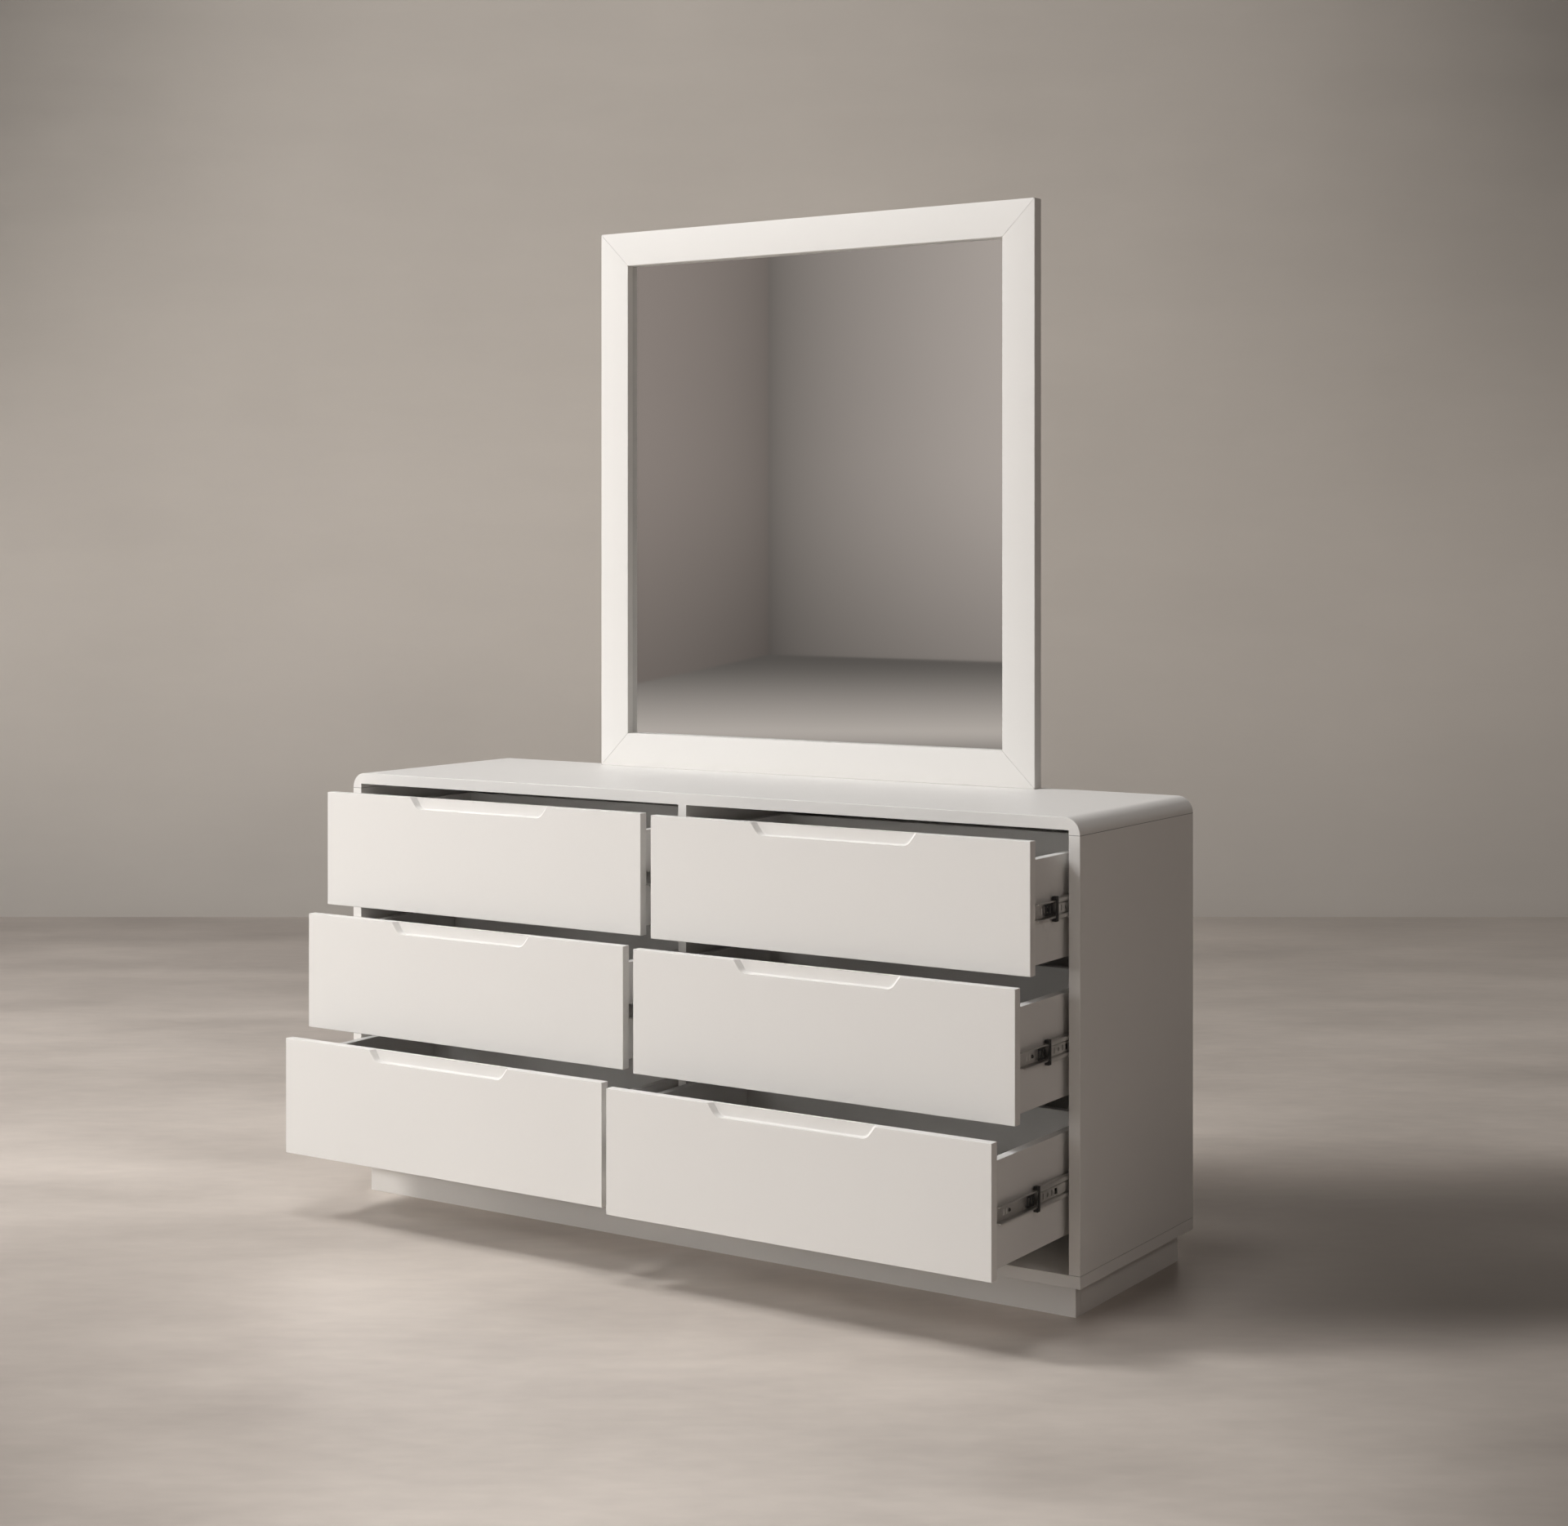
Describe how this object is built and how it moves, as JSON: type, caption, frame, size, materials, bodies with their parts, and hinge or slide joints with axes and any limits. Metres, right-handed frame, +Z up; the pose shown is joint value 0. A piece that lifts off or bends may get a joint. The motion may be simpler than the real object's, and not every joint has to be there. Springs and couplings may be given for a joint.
{
  "type": "dresser with mirror",
  "caption": "White lacquered dresser with inset drawers on ball slides, finger recesses along their top edges, a recessed plinth, and a square-framed mirror standing on top.",
  "frame": {"origin": "on the floor, in the middle of the plinth's footprint, on the underside of its centre bearer", "axes": "+Z up, +X to the right and +Y to the back for someone standing in front of the drawers"},
  "size_m": [1.6, 0.718, 1.92],
  "materials": {
    "white_lacquer": "white lacquer, satin to matt, sprayed on board",
    "drawer_board": "white melamine-faced board, matt",
    "back_board": "white-faced thin fibreboard, matt",
    "dowel_wood": "fluted beech dowel, raw",
    "mirror_silver": "silvered float glass",
    "slide_steel": "zinc-plated rolled steel",
    "screw_steel": "zinc-plated, countersunk"
  },
  "bodies": {
    "case": {"top_panel": "white_lacquer", "side_panel_left": "white_lacquer", "side_panel_right": "white_lacquer", "bottom_panel": "white_lacquer", "centre_divider": "white_lacquer", "back_panel": "back_board", "plinth_rails": "white_lacquer", "plinth_crosspieces": "white_lacquer", "case_dowels": "dowel_wood", "mirror_frame_bottom": "white_lacquer", "mirror_frame_top": "white_lacquer", "mirror_frame_left": "white_lacquer", "mirror_frame_right": "white_lacquer", "mirror_glass": "mirror_silver", "mirror_backboard": "back_board", "mirror_support_posts": "white_lacquer", "mirror_support_screws": "screw_steel", "case_slides": "slide_steel"},
    "top_left_drawer": {"top_left_drawer_front": "white_lacquer", "top_left_drawer_side_left": "drawer_board", "top_left_drawer_side_right": "drawer_board", "top_left_drawer_back": "drawer_board", "top_left_drawer_bottom": "drawer_board", "top_left_drawer_slides": "slide_steel"},
    "top_left_middle_slides": {"top_left_middle_slides": "slide_steel"},
    "top_right_drawer": {"top_right_drawer_front": "white_lacquer", "top_right_drawer_side_left": "drawer_board", "top_right_drawer_side_right": "drawer_board", "top_right_drawer_back": "drawer_board", "top_right_drawer_bottom": "drawer_board", "top_right_drawer_slides": "slide_steel"},
    "top_right_middle_slides": {"top_right_middle_slides": "slide_steel"},
    "middle_left_drawer": {"middle_left_drawer_front": "white_lacquer", "middle_left_drawer_side_left": "drawer_board", "middle_left_drawer_side_right": "drawer_board", "middle_left_drawer_back": "drawer_board", "middle_left_drawer_bottom": "drawer_board", "middle_left_drawer_slides": "slide_steel"},
    "middle_left_middle_slides": {"middle_left_middle_slides": "slide_steel"},
    "middle_right_drawer": {"middle_right_drawer_front": "white_lacquer", "middle_right_drawer_side_left": "drawer_board", "middle_right_drawer_side_right": "drawer_board", "middle_right_drawer_back": "drawer_board", "middle_right_drawer_bottom": "drawer_board", "middle_right_drawer_slides": "slide_steel"},
    "middle_right_middle_slides": {"middle_right_middle_slides": "slide_steel"},
    "bottom_left_drawer": {"bottom_left_drawer_front": "white_lacquer", "bottom_left_drawer_side_left": "drawer_board", "bottom_left_drawer_side_right": "drawer_board", "bottom_left_drawer_back": "drawer_board", "bottom_left_drawer_bottom": "drawer_board", "bottom_left_drawer_slides": "slide_steel"},
    "bottom_left_middle_slides": {"bottom_left_middle_slides": "slide_steel"},
    "bottom_right_drawer": {"bottom_right_drawer_front": "white_lacquer", "bottom_right_drawer_side_left": "drawer_board", "bottom_right_drawer_side_right": "drawer_board", "bottom_right_drawer_back": "drawer_board", "bottom_right_drawer_bottom": "drawer_board", "bottom_right_drawer_slides": "slide_steel"},
    "bottom_right_middle_slides": {"bottom_right_middle_slides": "slide_steel"}
  },
  "joints": [
    {"name": "top_left_drawer_slide", "type": "slide", "parent": "case", "child": "top_left_drawer", "axis": [0, -1, 0], "range_m": [-0.104, 0.296]},
    {"name": "top_left_middle_slide", "type": "slide", "parent": "case", "child": "top_left_middle_slides", "axis": [0, -1, 0], "range_m": [-0.052, 0.148]},
    {"name": "top_right_drawer_slide", "type": "slide", "parent": "case", "child": "top_right_drawer", "axis": [0, -1, 0], "range_m": [-0.12, 0.28]},
    {"name": "top_right_middle_slide", "type": "slide", "parent": "case", "child": "top_right_middle_slides", "axis": [0, -1, 0], "range_m": [-0.06, 0.14]},
    {"name": "middle_left_drawer_slide", "type": "slide", "parent": "case", "child": "middle_left_drawer", "axis": [0, -1, 0], "range_m": [-0.156, 0.244]},
    {"name": "middle_left_middle_slide", "type": "slide", "parent": "case", "child": "middle_left_middle_slides", "axis": [0, -1, 0], "range_m": [-0.078, 0.122]},
    {"name": "middle_right_drawer_slide", "type": "slide", "parent": "case", "child": "middle_right_drawer", "axis": [0, -1, 0], "range_m": [-0.172, 0.228]},
    {"name": "middle_right_middle_slide", "type": "slide", "parent": "case", "child": "middle_right_middle_slides", "axis": [0, -1, 0], "range_m": [-0.086, 0.114]},
    {"name": "bottom_left_drawer_slide", "type": "slide", "parent": "case", "child": "bottom_left_drawer", "axis": [0, -1, 0], "range_m": [-0.218, 0.182]},
    {"name": "bottom_left_middle_slide", "type": "slide", "parent": "case", "child": "bottom_left_middle_slides", "axis": [0, -1, 0], "range_m": [-0.109, 0.091]},
    {"name": "bottom_right_drawer_slide", "type": "slide", "parent": "case", "child": "bottom_right_drawer", "axis": [0, -1, 0], "range_m": [-0.25, 0.15]},
    {"name": "bottom_right_middle_slide", "type": "slide", "parent": "case", "child": "bottom_right_middle_slides", "axis": [0, -1, 0], "range_m": [-0.125, 0.075]}
  ],
  "couplings": [
    {"joint": "top_left_middle_slide", "follows": "top_left_drawer_slide", "ratio": 0.5},
    {"joint": "top_right_middle_slide", "follows": "top_right_drawer_slide", "ratio": 0.5},
    {"joint": "middle_left_middle_slide", "follows": "middle_left_drawer_slide", "ratio": 0.5},
    {"joint": "middle_right_middle_slide", "follows": "middle_right_drawer_slide", "ratio": 0.5},
    {"joint": "bottom_left_middle_slide", "follows": "bottom_left_drawer_slide", "ratio": 0.5},
    {"joint": "bottom_right_middle_slide", "follows": "bottom_right_drawer_slide", "ratio": 0.5}
  ]
}
